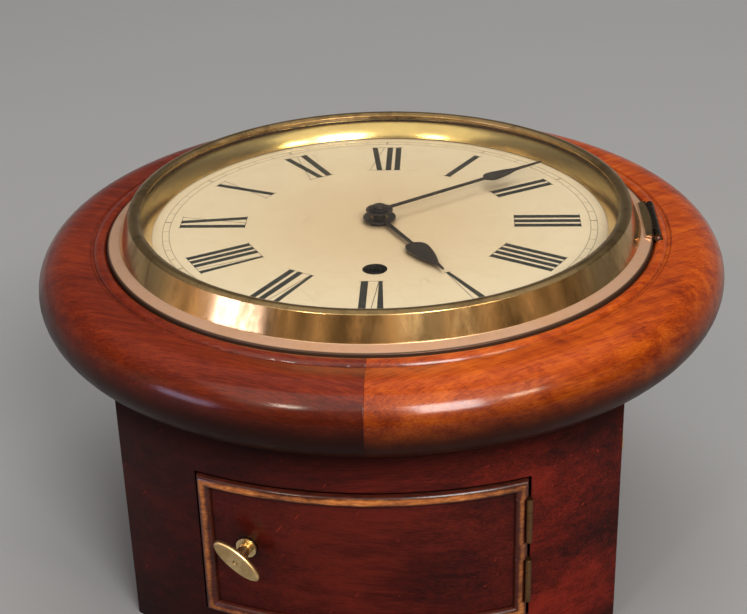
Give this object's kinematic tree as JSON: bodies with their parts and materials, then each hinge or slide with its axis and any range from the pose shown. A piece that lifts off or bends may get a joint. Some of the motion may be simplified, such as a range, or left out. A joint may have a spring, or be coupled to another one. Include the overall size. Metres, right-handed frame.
{
  "type": "dial wall clock",
  "caption": "Round mahogany wall clock lying on its back: opening glazed brass bezel, painted dial, spade hands, fusee movement with short pendulum, bottom and side doors.",
  "frame": {"origin": "on the axis of the hands, in the plane of the flat back that the clock lies on", "axes": "+Z out of the dial, +Y to twelve o'clock, +X to three o'clock"},
  "size_m": [0.3038, 0.304, 0.155],
  "materials": {
    "back_board": "bare pine, darkened with age",
    "back_cock": "satin, tarnished",
    "back_plate": "satin, tarnished",
    "barrel_arbor": "ground steel",
    "bezel_catch": "satin, tarnished",
    "bezel_glass": "clear flat glass",
    "bezel_hinge_base": "polished, lacquered",
    "bezel_hinge_leaf": "polished, lacquered",
    "bezel_hinge_pin": "ground steel",
    "bezel_ring": "polished, lacquered",
    "bottom_catch_thumb_plate": "polished, lacquered",
    "bottom_catch_tongue": "satin, tarnished",
    "bottom_door_beading": "varnish worn to the wood along its top",
    "bottom_door_hinge_bases": "satin, tarnished",
    "bottom_door_hinge_leaves": "satin, tarnished",
    "bottom_door_hinge_pins": "ground steel",
    "bottom_door_panel": "satin varnish, dark mahogany",
    "cannon_pinion": "ground steel",
    "case_bottom": "satin varnish, dark mahogany",
    "case_pegs": "turned hardwood",
    "case_side_left": "satin varnish, dark mahogany",
    "case_side_right": "satin varnish, dark mahogany",
    "case_top": "satin varnish, dark mahogany",
    "centre_arbor": "ground steel",
    "centre_wheel": "satin, tarnished",
    "dial_feet": "satin, tarnished",
    "dial_plate": "satin cream paint with black numerals",
    "dial_screws": "ground steel",
    "escape_arbor": "ground steel",
    "escape_wheel": "satin, tarnished",
    "front_plate": "satin, tarnished",
    "fusee_arbor": "ground steel",
    "fusee_cone": "satin, tarnished",
    "great_wheel": "satin, tarnished",
    "gut_line": "twisted gut",
    "hand_washer": "satin, tarnished",
    "hanging_plate": "satin, tarnished",
    "hanging_plate_screws": "ground steel",
    "hour_hand": "blackened",
    "hour_wheel": "satin, tarnished",
    "minute_hand": "blackened",
    "minute_wheel": "satin, tarnished",
    "pallet_anchor": "ground steel",
    "pendulum_bob": "satin, tarnished",
    "pendulum_rod": "ground steel",
    "plate_pillars": "satin, tarnished",
    "rating_nut": "satin, tarnished",
    "side_catch_thumb_plate": "polished, lacquered",
    "side_catch_tongue": "satin, tarnished",
    "side_door_hinge_bases": "satin, tarnished",
    "side_door_hinge_leaves": "satin, tarnished",
    "side_door_hinge_pins": "ground steel",
    "side_door_panel": "satin varnish, dark mahogany",
    "sight_ring": "polished, lacquered",
    "spring_barrel": "satin, tarnished",
    "surround_battens": "bare pine",
    "surround_left": "glossy varnish, dark red-brown mahogany",
    "surround_right": "glossy varnish, bright figured mahogany",
    "third_arbor": "ground steel",
    "third_wheel": "satin, tarnished"
  },
  "bodies": {
    "case": {"surround_left": "surround_left", "surround_right": "surround_right", "back_board": "back_board", "case_side_left": "case_side_left", "case_side_right": "case_side_right", "case_top": "case_top", "case_bottom": "case_bottom", "hanging_plate": "hanging_plate", "hanging_plate_screws": "hanging_plate_screws", "surround_battens": "surround_battens", "case_pegs": "case_pegs", "dial_plate": "dial_plate", "dial_screws": "dial_screws", "dial_feet": "dial_feet", "bezel_hinge_base": "bezel_hinge_base", "bottom_door_hinge_bases": "bottom_door_hinge_bases", "side_door_hinge_bases": "side_door_hinge_bases", "front_plate": "front_plate", "back_plate": "back_plate", "plate_pillars": "plate_pillars", "back_cock": "back_cock", "gut_line": "gut_line", "barrel_arbor": "barrel_arbor"},
    "bezel": {"bezel_ring": "bezel_ring", "bezel_glass": "bezel_glass", "sight_ring": "sight_ring", "bezel_hinge_leaf": "bezel_hinge_leaf", "bezel_hinge_pin": "bezel_hinge_pin", "bezel_catch": "bezel_catch"},
    "bottom_door": {"bottom_door_panel": "bottom_door_panel", "bottom_door_beading": "bottom_door_beading", "bottom_door_hinge_leaves": "bottom_door_hinge_leaves", "bottom_door_hinge_pins": "bottom_door_hinge_pins"},
    "bottom_catch": {"bottom_catch_thumb_plate": "bottom_catch_thumb_plate", "bottom_catch_tongue": "bottom_catch_tongue"},
    "side_door": {"side_door_panel": "side_door_panel", "side_door_hinge_leaves": "side_door_hinge_leaves", "side_door_hinge_pins": "side_door_hinge_pins"},
    "side_catch": {"side_catch_thumb_plate": "side_catch_thumb_plate", "side_catch_tongue": "side_catch_tongue"},
    "minute": {"minute_hand": "minute_hand", "cannon_pinion": "cannon_pinion", "hand_washer": "hand_washer"},
    "hour": {"hour_hand": "hour_hand", "hour_wheel": "hour_wheel"},
    "minute_wheel": {"minute_wheel": "minute_wheel"},
    "fusee": {"fusee_cone": "fusee_cone", "great_wheel": "great_wheel", "fusee_arbor": "fusee_arbor"},
    "barrel": {"spring_barrel": "spring_barrel"},
    "centre": {"centre_wheel": "centre_wheel", "centre_arbor": "centre_arbor"},
    "third": {"third_wheel": "third_wheel", "third_arbor": "third_arbor"},
    "escape": {"escape_wheel": "escape_wheel", "escape_arbor": "escape_arbor"},
    "pallets": {"pallet_anchor": "pallet_anchor"},
    "pendulum": {"pendulum_rod": "pendulum_rod", "pendulum_bob": "pendulum_bob", "rating_nut": "rating_nut"}
  },
  "joints": [
    {"name": "bezel_hinge", "type": "hinge", "parent": "case", "child": "bezel", "pos_m": [0.1214, 0, 0.1429], "axis": [0, 1, 0], "range_deg": [0, 110]},
    {"name": "bottom_door_hinge", "type": "hinge", "parent": "case", "child": "bottom_door", "pos_m": [0.06275, -0.1228, 0.0538], "axis": [0, 0, 1], "range_deg": [0, 100]},
    {"name": "bottom_catch_turn", "type": "hinge", "parent": "bottom_door", "child": "bottom_catch", "pos_m": [-0.0502, -0.12518, 0.0566], "axis": [-0.3042, -0.9526, 0], "range_deg": [-52, 38]},
    {"name": "side_door_hinge", "type": "hinge", "parent": "case", "child": "side_door", "pos_m": [0.103, 0, 0.08875], "axis": [0, -1, 0], "range_deg": [0, 95]},
    {"name": "side_catch_turn", "type": "hinge", "parent": "side_door", "child": "side_catch", "pos_m": [0.1008, 0, 0.036], "axis": [1, 0, 0], "range_deg": [-35, 55]},
    {"name": "minute_hand_turn", "type": "hinge", "parent": "case", "child": "minute", "pos_m": [0, 0, 0.1489], "axis": [0, 0, -1], "continuous": true},
    {"name": "hour_hand_turn", "type": "hinge", "parent": "case", "child": "hour", "pos_m": [0, 0, 0.1453], "axis": [0, 0, -1], "continuous": true},
    {"name": "minute_wheel_turn", "type": "hinge", "parent": "case", "child": "minute_wheel", "pos_m": [-0.018, 0, 0.1214], "axis": [0, 0, -1], "continuous": true},
    {"name": "escape_wheel_turn", "type": "hinge", "parent": "case", "child": "escape", "pos_m": [0, 0.03015, 0.0917], "axis": [0, 0, -1], "continuous": true},
    {"name": "third_wheel_turn", "type": "hinge", "parent": "case", "child": "third", "pos_m": [0.01905, 0.01914, 0.08475], "axis": [0, 0, -1], "continuous": true},
    {"name": "centre_wheel_turn", "type": "hinge", "parent": "case", "child": "centre", "pos_m": [0, 0, 0.0989], "axis": [0, 0, -1], "continuous": true},
    {"name": "fusee_turn", "type": "hinge", "parent": "case", "child": "fusee", "pos_m": [0, -0.0484, 0.109], "axis": [0, 0, -1], "continuous": true},
    {"name": "barrel_turn", "type": "hinge", "parent": "case", "child": "barrel", "pos_m": [-0.048, -0.066, 0.09], "axis": [0, 0, -1], "continuous": true},
    {"name": "pendulum_swing", "type": "hinge", "parent": "case", "child": "pendulum", "pos_m": [0, 0.0515, 0.0585], "axis": [0, 0, 1], "range_deg": [-3.5, 3.5]},
    {"name": "pallets_swing", "type": "hinge", "parent": "case", "child": "pallets", "pos_m": [0, 0.0515, 0.0917], "axis": [0, 0, 1], "range_deg": [-3.5, 3.5]}
  ],
  "couplings": [
    {"joint": "hour_hand_turn", "follows": "minute_hand_turn", "ratio": 0.083333},
    {"joint": "minute_wheel_turn", "follows": "minute_hand_turn", "ratio": -0.33333},
    {"joint": "third_wheel_turn", "follows": "escape_wheel_turn", "ratio": -0.090909},
    {"joint": "centre_wheel_turn", "follows": "escape_wheel_turn", "ratio": 0.0075758},
    {"joint": "fusee_turn", "follows": "escape_wheel_turn", "ratio": -0.00063131},
    {"joint": "barrel_turn", "follows": "escape_wheel_turn", "ratio": -0.00042776},
    {"joint": "pallets_swing", "follows": "pendulum_swing", "ratio": 1}
  ]
}
